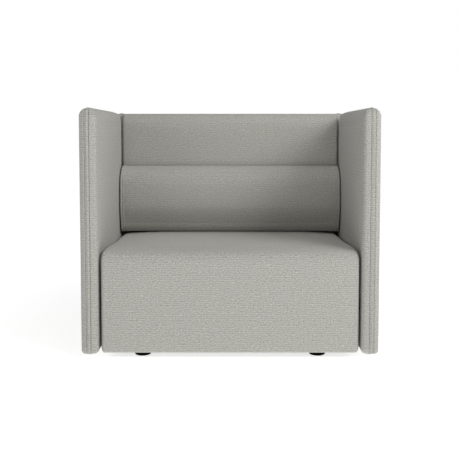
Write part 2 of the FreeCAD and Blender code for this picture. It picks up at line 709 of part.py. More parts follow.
os.makedirs("parts", exist_ok=True)
for part in sub_parts:
    part.Shape.exportStep(f"parts/{part.Label}.step")
print(f"{len(sub_parts)} sub-parts, {sum(len(p.Shape.Solids) for p in sub_parts)} solids")
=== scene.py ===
import json
import math

import bmesh
import bpy
import numpy as np
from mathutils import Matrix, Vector
from mathutils.bvhtree import BVHTree


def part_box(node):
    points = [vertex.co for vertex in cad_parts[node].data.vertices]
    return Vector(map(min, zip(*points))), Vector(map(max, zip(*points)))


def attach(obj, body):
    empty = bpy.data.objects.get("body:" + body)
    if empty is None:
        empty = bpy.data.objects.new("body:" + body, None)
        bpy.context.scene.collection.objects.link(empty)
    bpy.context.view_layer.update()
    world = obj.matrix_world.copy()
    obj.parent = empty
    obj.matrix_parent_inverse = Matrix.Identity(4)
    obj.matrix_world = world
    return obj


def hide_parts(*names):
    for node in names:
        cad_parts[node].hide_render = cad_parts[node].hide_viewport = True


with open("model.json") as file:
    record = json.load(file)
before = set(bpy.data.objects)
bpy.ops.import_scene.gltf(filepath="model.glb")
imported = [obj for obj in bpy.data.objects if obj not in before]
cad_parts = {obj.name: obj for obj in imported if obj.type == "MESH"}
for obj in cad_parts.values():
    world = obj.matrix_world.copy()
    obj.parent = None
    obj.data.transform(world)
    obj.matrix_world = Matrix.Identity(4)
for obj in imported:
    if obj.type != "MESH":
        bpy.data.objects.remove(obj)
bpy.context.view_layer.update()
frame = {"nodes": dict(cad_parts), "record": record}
print("stage: frame loaded")

scene = bpy.context.scene
scene.view_settings.view_transform = "Standard"


# Materials

def linear(code):
    values = [int(code[i:i + 2], 16) / 255 for i in (1, 3, 5)]
    return [v / 12.92 if v <= 0.04045 else ((v + 0.055) / 1.055) ** 2.4 for v in values] + [1.0]


# An input takes a value, a socket, or a node, whose first output is then linked; stops are those of a ramp.
def addNode(tree, kind, settings=None, inputs=None, stops=()):
    node = tree.nodes.new(kind)
    for key, value in (settings or {}).items():
        setattr(node, key, value)
    for key, value in (inputs or {}).items():
        if isinstance(value, bpy.types.Node):
            value = value.outputs[0]
        if isinstance(value, bpy.types.NodeSocket):
            tree.links.new(value, node.inputs[key])
        else:
            node.inputs[key].default_value = value
    for number, (place, code) in enumerate(stops):
        elements = node.color_ramp.elements
        element = elements[number] if number < 2 else elements.new(place)
        element.position = place
        element.color = linear(code)
    return node


def newMaterial(name):
    material = bpy.data.materials.new(name)
    material.use_nodes = True
    tree = material.node_tree
    tree.nodes.clear()
    return material, tree


def finishMaterial(tree, inputs):
    shader = addNode(tree, "ShaderNodeBsdfPrincipled", inputs=inputs)
    addNode(tree, "ShaderNodeOutputMaterial", inputs={"Surface": shader})


# Melange wool weave: pale and darker grey yarns by turns, level wefts with upright warps between them.
# It gives a soft matt grey that breaks into fine level dashes; the yarns are drawn twice as coarse to show.
weaveLook = {
    "shade": "#8f8e88", "middle": "#aaa9a3", "light": "#c5c4be", "roughness": 0.95,
    "weft": 4.4, "warp": 4.4, "slubLength": 10, "patch": 20, "fleck": (6, 3.2),  # mm
    "drift": 3.0, "slubs": (0.3, 0.7), "weftPatches": (0.33, 0.43), "warpShare": 0.3,
    "rowJump": 5.37, "yarnDepth": 0.36, "fleckDepth": 1.3, "fleckBase": -0.15,
}


# The cloth's own directions: level along the weft, and up or back along the warp.
def clothPlace(tree):
    coords = addNode(tree, "ShaderNodeTexCoord").outputs
    place = addNode(tree, "ShaderNodeSeparateXYZ", inputs={0: coords["Object"]}).outputs
    turned = addNode(tree, "ShaderNodeVectorMath", {"operation": "ABSOLUTE"}, {0: coords["Normal"]})
    facing = addNode(tree, "ShaderNodeSeparateXYZ", inputs={0: turned}).outputs
    most = {}
    for axis, (one, other) in (("X", "YZ"), ("Z", "XY")):
        larger = addNode(tree, "ShaderNodeMath", {"operation": "MAXIMUM"}, {0: facing[one], 1: facing[other]})
        most[axis] = addNode(tree, "ShaderNodeMath", {"operation": "GREATER_THAN"}, {
            0: facing[axis], 1: larger})
    level = addNode(tree, "ShaderNodeMix", inputs={0: most["X"], 2: place["X"], 3: place["Y"]})
    rise = addNode(tree, "ShaderNodeMix", inputs={0: most["Z"], 2: place["Z"], 3: place["Y"]})
    return addNode(tree, "ShaderNodeCombineXYZ", inputs={0: level, 1: rise})


def weaveMaterial(name, look):
    material, tree = newMaterial(name)
    flat = {"noise_dimensions": "2D"}
    cloth = clothPlace(tree)

    # yarns wander a little, patch by patch
    patch = addNode(tree, "ShaderNodeTexNoise", flat, {
        "Vector": cloth, "Scale": 1000 / look["patch"], "Detail": 1.0})
    wander = addNode(tree, "ShaderNodeMath", {"operation": "MULTIPLY"}, {0: patch, 1: look["drift"]})
    count = (1000 / look["warp"], 1000 / look["weft"], 0)
    yarns = addNode(tree, "ShaderNodeVectorMath", {"operation": "MULTIPLY_ADD"}, {
        0: cloth, 1: count, 2: wander})
    turns = addNode(tree, "ShaderNodeVectorMath", {"operation": "SCALE"}, {0: yarns, "Scale": math.pi})
    waves = addNode(tree, "ShaderNodeVectorMath", {"operation": "SINE"}, {0: turns})
    wave = addNode(tree, "ShaderNodeSeparateXYZ", inputs={0: waves}).outputs

    # each pair of wefts is strong or faint by its own slubs
    pairs = addNode(tree, "ShaderNodeVectorMath", {"operation": "MULTIPLY"}, {0: yarns, 1: (0, 0.5, 0)})
    rows = addNode(tree, "ShaderNodeVectorMath", {"operation": "FLOOR"}, {0: pairs})
    along = addNode(tree, "ShaderNodeVectorMath", {"operation": "MULTIPLY"}, {
        0: cloth, 1: (1000 / look["slubLength"], 0, 0)})
    slubPlace = addNode(tree, "ShaderNodeVectorMath", {"operation": "MULTIPLY_ADD"}, {
        0: rows, 1: (0, look["rowJump"], 0), 2: along})
    slubs = addNode(tree, "ShaderNodeTexNoise", flat, {"Vector": slubPlace, "Scale": 1.0, "Detail": 1.0})
    slub = addNode(tree, "ShaderNodeMapRange", inputs={
        "Value": slubs, "From Min": look["slubs"][0], "From Max": look["slubs"][1]})
    weftTone = addNode(tree, "ShaderNodeMath", {"operation": "MULTIPLY"}, {0: wave["Y"], 1: slub})

    # warps show in patches, and flecks of pale and dark fibre lie over all
    warpTone = addNode(tree, "ShaderNodeMath", {"operation": "MULTIPLY"}, {
        0: wave["X"], 1: look["warpShare"]})
    level = addNode(tree, "ShaderNodeMapRange", inputs={
        "Value": patch, "From Min": look["weftPatches"][0], "From Max": look["weftPatches"][1]})
    tone = addNode(tree, "ShaderNodeMix", inputs={0: level, 2: warpTone, 3: weftTone})
    fleckPlace = addNode(tree, "ShaderNodeVectorMath", {"operation": "MULTIPLY"}, {
        0: cloth, 1: (1000 / look["fleck"][0], 1000 / look["fleck"][1], 0)})
    fleck = addNode(tree, "ShaderNodeTexNoise", flat, {"Vector": fleckPlace, "Scale": 1.0, "Detail": 1.0})
    fibre = addNode(tree, "ShaderNodeMath", {"operation": "MULTIPLY_ADD"}, {
        0: fleck, 1: look["fleckDepth"], 2: look["fleckBase"]})
    shade = addNode(tree, "ShaderNodeMath", {"operation": "MULTIPLY_ADD"}, {
        0: tone, 1: look["yarnDepth"], 2: fibre})

    colour = addNode(tree, "ShaderNodeValToRGB", inputs={"Fac": shade}, stops=[
        (0.0, look["shade"]), (0.5, look["middle"]), (1.0, look["light"])])
    bump = addNode(tree, "ShaderNodeBump", inputs={"Height": shade, "Strength": 0.3, "Distance": 0.0006})
    finishMaterial(tree, {
        "Base Color": colour, "Roughness": look["roughness"], "Normal": bump, "Sheen Weight": 0.15,
        "Sheen Roughness": 0.6, "IOR": 1.45, "Specular IOR Level": 0.15})
    return material


# Spun polyester sewing thread: a tight twist sunk in the cloth, coloured darker than it as painted shade for
# the stitch holes.
def threadMaterial():
    material, tree = newMaterial("polyesterThread")
    # the darker thread colour is painted shade for the stitch holes
    finishMaterial(tree, {"Base Color": linear("#7c7b76"), "Roughness": 0.7, "IOR": 1.5})
    return material


# Injection-moulded polypropylene with a coarse spark texture: black and dead matt.
def plasticMaterial():
    material, tree = newMaterial("blackPolypropylene")
    grit = 0.714  # mm
    coords = addNode(tree, "ShaderNodeTexCoord").outputs["Object"]
    grain = addNode(tree, "ShaderNodeTexNoise", inputs={"Vector": coords, "Scale": 1000 / grit})
    bump = addNode(tree, "ShaderNodeBump", inputs={"Height": grain, "Strength": 0.1, "Distance": 0.0002})
    finishMaterial(tree, {
        "Base Color": linear("#060606"), "Roughness": 0.8, "IOR": 1.49, "Specular IOR Level": 0.08,
        "Normal": bump})
    return material


# Planed softwood: long pale grain lines, all drawn upright; near black where it shows in a gap, as painted
# shade for the dark of that gap.
def timberMaterial(name, dark, pale):
    material, tree = newMaterial(name)
    grainWidth = 16.67  # mm
    grainLength = 333.3  # mm
    scale = (1000 / grainWidth, 1000 / grainWidth, 1000 / grainLength)
    coords = addNode(tree, "ShaderNodeTexCoord").outputs["Object"]
    spread = addNode(tree, "ShaderNodeMapping", inputs={"Vector": coords, "Scale": scale})
    grain = addNode(tree, "ShaderNodeTexNoise", inputs={"Vector": spread, "Scale": 1.0, "Detail": 4.0})
    colour = addNode(tree, "ShaderNodeValToRGB", inputs={"Fac": grain}, stops=[(0.35, dark), (0.65, pale)])
    finishMaterial(tree, {"Base Color": colour, "Roughness": 0.65, "IOR": 1.5})
    return material


# Pressed fibreboard: even brown with a fine felted speck.
def boardMaterial():
    material, tree = newMaterial("fibreboard")
    fibre = 2.5  # mm
    coords = addNode(tree, "ShaderNodeTexCoord").outputs["Object"]
    speck = addNode(tree, "ShaderNodeTexNoise", inputs={
        "Vector": coords, "Scale": 1000 / fibre, "Detail": 2.0})
    colour = addNode(tree, "ShaderNodeValToRGB", inputs={"Fac": speck}, stops=[
        (0.4, "#7a5a3a"), (0.6, "#96724c")])
    finishMaterial(tree, {"Base Color": colour, "Roughness": 0.8, "IOR": 1.5})
    return material


# Woven jute strap: coarse brown yarns across and along.
def webbingMaterial():
    material, tree = newMaterial("juteWebbing")
    yarn = 3.333  # mm
    coords = addNode(tree, "ShaderNodeTexCoord").outputs["Object"]
    weave = addNode(tree, "ShaderNodeTexChecker", inputs={
        "Vector": coords, "Scale": 1000 / yarn, "Color1": linear("#8a7048"), "Color2": linear("#6d5632")})
    finishMaterial(tree, {"Base Color": weave, "Roughness": 0.9, "IOR": 1.45})
    return material


# Spunbonded dust cloth: thin black felt with faint dimples.
def dustMaterial():
    material, tree = newMaterial("spunbondCloth")
    spacing = 2.222  # mm
    coords = addNode(tree, "ShaderNodeTexCoord").outputs["Object"]
    dimple = addNode(tree, "ShaderNodeTexVoronoi", inputs={"Vector": coords, "Scale": 1000 / spacing})
    bump = addNode(tree, "ShaderNodeBump", inputs={"Height": dimple, "Strength": 0.3, "Distance": 0.0004})
    finishMaterial(tree, {"Base Color": linear("#161616"), "Roughness": 0.9, "IOR": 1.45, "Normal": bump})
    return material


# Bright zinc plate on mild steel: a cool grey metal with a soft, slightly cloudy reflection.
def steelMaterial():
    material, tree = newMaterial("zincPlate")
    cloudSize = 4  # mm
    coords = addNode(tree, "ShaderNodeTexCoord").outputs["Object"]
    cloud = addNode(tree, "ShaderNodeTexNoise", inputs={"Vector": coords, "Scale": 1000 / cloudSize})
    rough = addNode(tree, "ShaderNodeMapRange", inputs={"Value": cloud, "To Min": 0.3, "To Max": 0.45})
    finishMaterial(tree, {"Base Color": linear("#c3c4c0"), "Metallic": 1.0, "Roughness": rough})
    return material


fabric = weaveMaterial("melangeWool", weaveLook)
thread = threadMaterial()
plastic = plasticMaterial()
slotMaterials = {
    "woven_fabric": fabric, "upholstery_foam": fabric, "hardboard": boardMaterial(),
    "frame_timber": timberMaterial("planedPine", "#b48a58", "#d8b98a"),
    "jute_webbing": webbingMaterial(), "dust_cloth": dustMaterial(),
    "zinc_steel": steelMaterial(), "black_plastic": plastic,
}
# the packers are coloured near black as painted shade, so the gap between seat and panel reads dark
nodeMaterials = {"panel_packers": timberMaterial("gapShadePine", "#121110", "#1c1a18")}
for entry in frame["record"]["subparts"]:
    mesh = frame["nodes"][entry["node"]].data
    mesh.materials.clear()
    mesh.materials.append(nodeMaterials.get(entry["node"], slotMaterials[entry["material_slot"]]))
print("stage: materials made")


# Meshes

def meshObject(name, vertices, faces, material):
    mesh = bpy.data.meshes.new(name)
    mesh.from_pydata([tuple(v) for v in vertices], [], faces)
    mesh.update()
    made = bpy.data.objects.new(name, mesh)
    scene.collection.objects.link(made)
    mesh.materials.append(material)
    return made


def readPoints(mesh, key="co"):
    values = np.empty(len(mesh.vertices) * 3, np.float32)
    mesh.vertices.foreach_get(key, values)
    return values.reshape(-1, 3).astype(float)


def setPoints(mesh, values):
    mesh.vertices.foreach_set("co", np.ascontiguousarray(values, np.float32).ravel())
    mesh.update()


def addModifier(made, kind, **settings):
    modifier = made.modifiers.new(kind.lower(), kind)
    for key, value in settings.items():
        setattr(modifier, key, value)
    return modifier


def applyModifiers(made):
    shape = made.evaluated_get(bpy.context.evaluated_depsgraph_get())
    mesh = bpy.data.meshes.new_from_object(shape)
    made.modifiers.clear()
    made.data = mesh


def placed(made, body):
    made.data.polygons.foreach_set("use_smooth", [True] * len(made.data.polygons))
    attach(made, body)


# From 0 at the start to 1 at the end, with soft ends.
def ease(values, start, end):
    t = np.clip((values - start) / (end - start), 0, 1)
    return t * t * (3 - 2 * t)


# Cushions: the outside of the CAD covers in even quads, filled out by pressure between the seams.

def coverHull(name, nodes):
    points = np.concatenate([readPoints(frame["nodes"][n].data) for n in nodes])
    hull = bmesh.new()
    for point in np.unique(points.round(5), axis=0):
        hull.verts.new(point)
    found = bmesh.ops.convex_hull(hull, input=hull.verts)
    spare = {g for g in found["geom_unused"] + found["geom_interior"] if isinstance(g, bmesh.types.BMVert)}
    bmesh.ops.delete(hull, geom=list(spare), context="VERTS")
    mesh = bpy.data.meshes.new(name)
    hull.to_mesh(mesh)
    hull.free()
    made = bpy.data.objects.new(name, mesh)
    scene.collection.objects.link(made)
    return made


# How far pressure moves each point of the cloth; what is pinned stays.
def pressureMoves(form, look, pinned):
    mesh = form.data
    start = readPoints(mesh)
    held = pinned(start)
    smaller = start - readPoints(mesh, "normal") * (~held * look["drawIn"])[:, None]
    setPoints(mesh, smaller)
    group = form.vertex_groups.new(name="held")
    group.add(np.nonzero(held)[0].tolist(), 1.0, "REPLACE")
    modifier = addModifier(form, "CLOTH")
    cloth = modifier.settings
    cloth.vertex_group_mass = "held"
    cloth.quality = 3
    cloth.use_pressure = True
    cloth.uniform_pressure_force = look["pressure"]
    cloth.effector_weights.gravity = 0
    modifier.point_cache.frame_end = look["frames"]
    for number in range(1, look["frames"] + 1):
        scene.frame_set(number)
    shape = form.evaluated_get(bpy.context.evaluated_depsgraph_get())
    moved = readPoints(shape.data) - smaller
    form.modifiers.clear()
    form.vertex_groups.clear()
    scene.frame_set(1)
    setPoints(mesh, start)
    length = np.maximum(np.linalg.norm(moved, axis=1), 1e-9)
    moved *= (look["cap"] * np.tanh(length / look["cap"]) / length)[:, None]
    return smaller + moved - start


def cushion(name, nodes, look, pinned, tailor):
    hull = coverHull(f"{name}Hull", nodes)
    form = bpy.data.objects.new(name, hull.data.copy())
    scene.collection.objects.link(form)
    addModifier(form, "REMESH", mode="VOXEL", voxel_size=look["voxel"])
    addModifier(form, "SMOOTH", factor=0.5, iterations=2)
    applyModifiers(form)
    values = pressureMoves(form, look, pinned)
    moves = form.data.attributes.new("moves", "FLOAT_VECTOR", "POINT")
    moves.data.foreach_set("vector", values.astype(np.float32).ravel())
    addModifier(form, "SUBSURF", levels=1, render_levels=1)
    addModifier(form, "SHRINKWRAP", target=hull)
    applyModifiers(form)
    mesh = form.data
    values = np.empty(len(mesh.vertices) * 3, np.float32)
    mesh.attributes["moves"].data.foreach_get("vector", values)
    mesh.attributes.remove(mesh.attributes["moves"])
    # the cloth swells, but never sinks into the foam
    normals = readPoints(mesh, "normal")
    swell = values.reshape(-1, 3).astype(float)
    swell -= normals * np.minimum((swell * normals).sum(1), 0)[:, None]
    setPoints(mesh, readPoints(mesh) + swell)
    setPoints(mesh, tailor(readPoints(mesh), readPoints(mesh, "normal")))
    bpy.data.objects.remove(hull)
    mesh.materials.clear()
    mesh.materials.append(fabric)
    print("  ", name, len(mesh.vertices), "points")
    return form


# A quarter-round edge made fuller: its centre and the way out from it, on two axes.
def fillEdge(points, axes, centre, outward, radius, power=4):
    a, b = [(points[:, axis] - place) * way for axis, place, way in zip(axes, centre, outward)]
    turn = np.arctan2(np.clip(b, 0, radius), np.clip(a, 0, radius))
    growth = (np.cos(turn) ** power + np.sin(turn) ** power) ** (-1 / power) - 1
    growth = np.where((a > 0) & (b > 0), growth, 0)
    points[:, axes[0]] += outward[0] * a * growth
    points[:, axes[1]] += outward[1] * b * growth


# Seams: strips of cloth laid on a cushion along the line where a plane cuts it. A profile is a list of
# places across the strip with their heights over the cushion.
# Rays towards the middle find the line. Each point of a strip is found by a ray that starts over the
# cushion by lift and ends after reach; span is the count of points each way that gives a line's direction.
castLook = {"rays": 2880, "lift": 0.03, "reach": 0.08, "span": 3}

# A stitch along its length: the places in stitch lengths, the heights in thread widths.
stitchArch = ((-0.5, -0.4), (-0.3, 0.4), (0.3, 0.4), (0.5, -0.4))
threadRound = 0.2


def surfaceOf(form):
    points = readPoints(form.data)
    tree = BVHTree.FromObject(form, bpy.context.evaluated_depsgraph_get())
    return {"tree": tree, "low": points.min(0), "high": points.max(0)}


def seamLine(surface, axis, level, step):
    across = [i for i in range(3) if i != axis]
    centre = (surface["low"] + surface["high"]) / 2
    centre[axis] = level
    reach = (surface["high"] - surface["low"]).max()
    found = []
    for angle in np.linspace(0, 2 * math.pi, castLook["rays"], endpoint=False):
        ray = np.zeros(3)
        ray[across] = math.cos(angle), math.sin(angle)
        hit = surface["tree"].ray_cast(Vector(centre + ray * reach), Vector(-ray))[0]
        if hit is not None:
            found.append(hit)
    closed = np.array(found + found[:1])
    lengths = np.concatenate([[0], np.cumsum(np.linalg.norm(np.diff(closed, axis=0), axis=1))])
    spots = np.linspace(0, lengths[-1], round(lengths[-1] / step), endpoint=False)
    line = np.stack([np.interp(spots, lengths, closed[:, i]) for i in range(3)], 1)
    ahead = np.roll(line, -castLook["span"], 0) - np.roll(line, castLook["span"], 0)
    outward = np.cross(ahead, np.eye(3)[axis])
    outward /= np.linalg.norm(outward, axis=1)[:, None]
    if ((line - centre) * outward).sum() < 0:
        outward = -outward
    return line, outward


def onSurface(surface, point, outward, shift):
    start = Vector(point + outward * castLook["lift"] + shift)
    hit, normal, _, _ = surface["tree"].ray_cast(start, Vector(-outward), castLook["reach"])
    if hit is None:
        return Vector(point + shift), Vector(outward)
    return hit, normal


# Faces turned outwards, and no points left over.
def cleaned(made, surface):
    mesh = bmesh.new()
    mesh.from_mesh(made.data)
    bmesh.ops.delete(mesh, geom=[v for v in mesh.verts if not v.link_faces], context="VERTS")
    mesh.normal_update()
    middle = Vector((surface["low"] + surface["high"]) / 2)
    if sum(f.normal.dot(f.calc_center_median() - middle) for f in mesh.faces) < 0:
        bmesh.ops.reverse_faces(mesh, faces=mesh.faces)
    mesh.to_mesh(made.data)
    mesh.free()


def seam(name, form, axis, level, look, side, shown=None):
    surface = surfaceOf(form)
    line, outward = seamLine(surface, axis, level, look["step"])
    used = np.ones(len(line), bool) if shown is None else shown(line)
    along = np.eye(3)[axis] * side
    vertices, faces = [], []
    width = len(look["profile"])
    for k in range(len(line)):
        for offset, height in look["profile"]:
            hit, normal = onSurface(surface, line[k], outward[k], along * offset)
            vertices.append(hit + normal * height)
        after = (k + 1) % len(line)
        if used[k] and used[after]:
            for i in range(width - 1):
                faces.append((k * width + i, k * width + i + 1, after * width + i + 1, after * width + i))
    strip = meshObject(name, vertices, faces, fabric)
    cleaned(strip, surface)

    # three ridges of points, side, top and side, along each stitch
    vertices, faces = [], []
    for offset, height in look["stitches"]:
        for k in np.nonzero(used)[0]:
            hit, normal = onSurface(surface, line[k], outward[k], along * offset)
            ahead = Vector(line[(k + 1) % len(line)] - line[k]).normalized()
            first = len(vertices)
            across = normal.cross(ahead).normalized() * look["thread"] / 2
            rise = normal * look["thread"] * threadRound
            for place, lift in stitchArch:
                spot = hit + normal * (height + lift * look["thread"]) + ahead * place * look["stitch"]
                vertices += [spot + across - rise, spot + rise, spot - across - rise]
            for i in range(len(stitchArch) - 1):
                for j in range(2):
                    a = first + 3 * i + j
                    faces.append((a, a + 1, a + 4, a + 3))
    rows = meshObject(name.replace("Seam", "Stitches"), vertices, faces, thread)
    cleaned(rows, surface)
    return strip, rows


# Side panels and back: padded slabs with a raised seam round the edge between two rows of stitches.
panelLook = {
    "voxel": 0.013, "drawIn": 0.002, "cap": 0.0035, "pressure": 4, "frames": 14, "hold": 0.014,
    "topFall": (0.010, 0.015), "topReach": 0.09, "topRise": 0.005, "baseDrop": 0.008, "spread": 0.0025,
    "seamDraw": 0.0025, "seamBand": (0.022, 0.012), "innerRound": 0.035,
}
backLook = {
    "voxel": 0.014, "drawIn": 0.003, "cap": 0.005, "pressure": 4, "frames": 14, "hold": 0.014,
    "cornerHold": 0.03, "creaseIn": (-0.002, 0.008), "creaseOut": (0.036, 0.023), "creaseDepth": 0.03,
    "creaseFace": 0.03, "seamDraw": 0.0025, "seamBand": (0.022, 0.012),
}
# from the strip's edge over a soft shoulder to the sunk stitches, and the raised lip in the middle
panelShoulder = [
    (0.024, -0.0008), (0.020, 0.0006), (0.016, 0.0020), (0.0125, 0.0029), (0.0113, 0.0025), (0.0100, 0.0006),
    (0.009, -0.0002), (0.0080, 0.0006), (0.0067, 0.0025), (0.0055, 0.0029)]
panelLip = [
    (-0.003, 0.0031), (-0.0016, 0.0034), (-0.0008, 0.0044), (0.0002, 0.0047), (0.0010, 0.0038),
    (0.0016, 0.0022), (0.0026, 0.0020), (0.004, 0.0028)]
panelSeam = {
    "step": 0.005, "stitch": 0.0036, "thread": 0.0009, "stitches": [(-0.009, 0.0004), (0.009, 0.0004)],
    "profile": [(-place, height) for place, height in panelShoulder] + panelLip + panelShoulder[::-1],
}


def upholsteredPanel(name, axis, side, look):
    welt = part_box(f"{name}_welt")
    level = (welt[0][axis] + welt[1][axis]) / 2
    base, top = [corner[2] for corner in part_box(f"{name}_inner_cover")]
    outer = abs(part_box(f"{name}_outer_cover")[side > 0][axis] - level)
    inner = abs(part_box(f"{name}_inner_cover")[side < 0][axis] - level)
    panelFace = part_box("right_panel_inner_cover")[0][0]

    def pinned(points):
        held = np.abs(points[:, axis] - level) < look["hold"]
        if axis == 1:
            held |= (np.abs(points[:, 0]) > panelFace - look["cornerHold"]) & (points[:, 1] < level)
        return held

    def seamDraw(points, normals):
        near = ease(np.abs(points[:, axis] - level), *look["seamBand"])
        return points - normals * (look["seamDraw"] * near)[:, None]

    # a side panel's top is highest at the seam and falls to both faces, its base drops, and its inner
    # front edge is full
    def sideFall(points, normals):
        points = seamDraw(points, normals)
        face = level - side * inner
        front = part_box(f"{name}_inner_cover")[0][1]
        radius = look["innerRound"]
        fillEdge(points, (0, 1), (face + side * radius, front + radius), (-side, -1), radius)
        depth = (points[:, 0] - level) * side
        share = np.where(depth > 0, depth / outer, depth / inner)
        points[:, 0] += side * look["spread"] * np.clip(share, 0, 1)
        fall = np.where(depth > 0, look["topFall"][0], look["topFall"][1]) * np.clip(share, -1, 1) ** 2
        points[:, 2] += (look["topRise"] - fall) * ease(points[:, 2], top - look["topReach"], top)
        drop = look["baseDrop"] * (1 - np.clip(share, -1, 0) ** 2)
        points[:, 2] -= drop * ease(points[:, 2], base + look["topReach"], base)
        return points

    # the back's cover is drawn in where the side panels' inner faces meet it
    def cornerCrease(points, normals):
        points = seamDraw(points, normals)
        front = ease(points[:, 1], level, level - look["creaseFace"])
        past = np.abs(points[:, 0]) - panelFace
        crease = ease(past, *look["creaseIn"]) * ease(past, *look["creaseOut"])
        points[:, 1] += look["creaseDepth"] * front * crease
        return points

    nodes = [f"{name}_outer_cover", f"{name}_inner_cover"]
    form = cushion(f"{name}Cushion", nodes, look, pinned, cornerCrease if axis == 1 else sideFall)
    strip, rows = seam(f"{name}Seam", form, axis, level, panelSeam, side)
    for made in (form, strip, rows):
        placed(made, "chair")
    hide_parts(*nodes, f"{name}_outer_foam", f"{name}_inner_foam")
    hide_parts(f"{name}_welt")


upholsteredPanel("left_panel", 0, -1, panelLook)
upholsteredPanel("right_panel", 0, 1, panelLook)
upholsteredPanel("back", 1, 1, backLook)
print("stage: panels and back made")


# Seat: a crowned block with a seam near each end, open underneath where the dust cover closes it.
# Runs and fallStart are places in the chair's depth, with the front below zero.
seatLook = {
    "voxel": 0.013, "drawIn": 0.003, "cap": 0.005, "pressure": 4, "frames": 14, "hold": 0.014,
    "hem": 0.032, "hemBand": 0.005, "seamGap": 0.002, "topBand": 0.1,
    "frontRound": 0.06, "frontPower": 2.5, "crown": 0.005, "crownRun": (0.05, -0.15),
    "frontFall": 0.004, "fallStart": -0.15, "fallLength": 0.25,
    "sideFall": 0.013, "sideReach": 0.25, "sideRun": (-0.34, -0.06),
    "cornerDraw": 0.012, "cornerReach": 0.09, "cornerBand": 0.03,
}
seatSeam = {
    "step": 0.004, "stitch": 0.003, "thread": 0.0008, "stitches": [(-0.0065, 0.0004)],
    "profile": [(-0.018, -0.0006), (-0.014, 0.0008), (-0.0095, 0.0020), (-0.0083, 0.0016), (-0.0065, -0.0002),
                (-0.0047, 0.0016), (-0.0036, 0.0020), (-0.0018, 0.0022), (-0.0008, 0.0030), (0.0002, 0.0032),
                (0.001, 0.0022), (0.0018, 0.0008), (0.0035, -0.0006)],
}


def upholsteredSeat():
    look = seatLook
    nodes = ["seat_cover", "seat_left_side_cover", "seat_right_side_cover"]
    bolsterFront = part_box("bolster_wrap")[0][1]
    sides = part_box("seat_right_side_cover")[1][0]
    low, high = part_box("seat_cover")

    def pinned(points):
        x, y, z = points.T
        hold = look["hold"]
        return (np.abs(x) > sides - hold) | (y > bolsterFront - hold) | (z < low[2] + hold)

    # the front edge is full, the ends fall away behind it, and the seams draw the front corners in
    def cornerDraw(points, normals):
        radius = look["frontRound"]
        centre = (low[1] + radius, high[2] - radius)
        fillEdge(points, (1, 2), centre, (-1, 1), radius, look["frontPower"])
        arch = look["crown"] * ease(points[:, 1], *look["crownRun"])
        ahead = np.clip((look["fallStart"] - points[:, 1]) / look["fallLength"], 0, 1)
        arch -= look["frontFall"] * ahead ** 2
        points[:, 2] += arch * ease(points[:, 2], high[2] - look["topBand"], high[2])
        behind = ease(points[:, 1], *look["sideRun"]) * ease(points[:, 2], high[2] - look["topBand"], high[2])
        end = np.clip((np.abs(points[:, 0]) - sides + look["sideReach"]) / look["sideReach"], 0, 1)
        points[:, 2] -= look["sideFall"] * behind * end ** 2
        near = ease(points[:, 1], low[1] + look["cornerReach"], low[1])
        outer = ease(np.abs(points[:, 0]), sides - look["cornerBand"], sides)
        points[:, 0] -= np.sign(points[:, 0]) * look["cornerDraw"] * near * outer
        return points

    form = cushion("seatCushion", nodes, look, pinned, cornerDraw)
    hem = look["hem"]
    mesh = bmesh.new()
    mesh.from_mesh(form.data)
    opened = []
    for face in mesh.faces:
        x, y, z = face.calc_center_median()
        if z < low[2] + look["hemBand"] and abs(x) < sides - hem and low[1] + hem < y < high[1] - hem:
            opened.append(face)
    bmesh.ops.delete(mesh, geom=opened, context="FACES")
    mesh.to_mesh(form.data)
    mesh.free()
    placed(form, "chair")
    level = (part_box("seat_welts")[1][0] + high[0]) / 2

    def shown(line):
        return (line[:, 1] < bolsterFront - look["seamGap"]) & (line[:, 2] > low[2] + look["seamGap"])

    for name, side in (("Left", -1), ("Right", 1)):
        strip, rows = seam(f"seat{name}Seam", form, 0, side * level, seatSeam, side, shown)
        placed(strip, "chair")
        placed(rows, "chair")
    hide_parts("seat_welts")
    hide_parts(*nodes, "seat_foam_wrap", "seat_foam_core")


upholsteredSeat()
print("stage: seat made")


# Bolster: a loaf-shaped roll whose end caps are drawn in behind a lipped seam.
# Rises are shares of its height, and capShare is the share of a cap over which it is drawn in.
bolsterLook = {
    "voxel": 0.009, "drawIn": 0.002, "cap": 0.004, "pressure": 4, "frames": 14, "hold": 0.014,
    "endHold": 0.02, "bulge": 0.012, "bulgeEnds": 6, "undercut": 0.026, "underRise": (0.42, 0),
    "capDraw": 0.009, "topRise": (0.8, 1), "capFill": 0.007, "footRise": (0, 0.15),
    "endDraw": 0.003, "capShare": (0, 0.8), "seamShift": 0.004,
}
bolsterSeam = {
    "step": 0.004, "stitch": 0.003, "thread": 0.0008, "stitches": [(-0.0065, 0.0004)],
    "profile": [(-0.016, -0.0005), (-0.013, 0.0004), (-0.009, 0.0014), (-0.0077, 0.0010), (-0.0065, -0.0002),
                (-0.0053, 0.0010), (-0.004, 0.0015), (-0.0018, 0.0019), (-0.0008, 0.0032), (0.0002, 0.0034),
                (0.001, 0.0020), (0.0018, 0.0004), (0.003, -0.0005)],
}


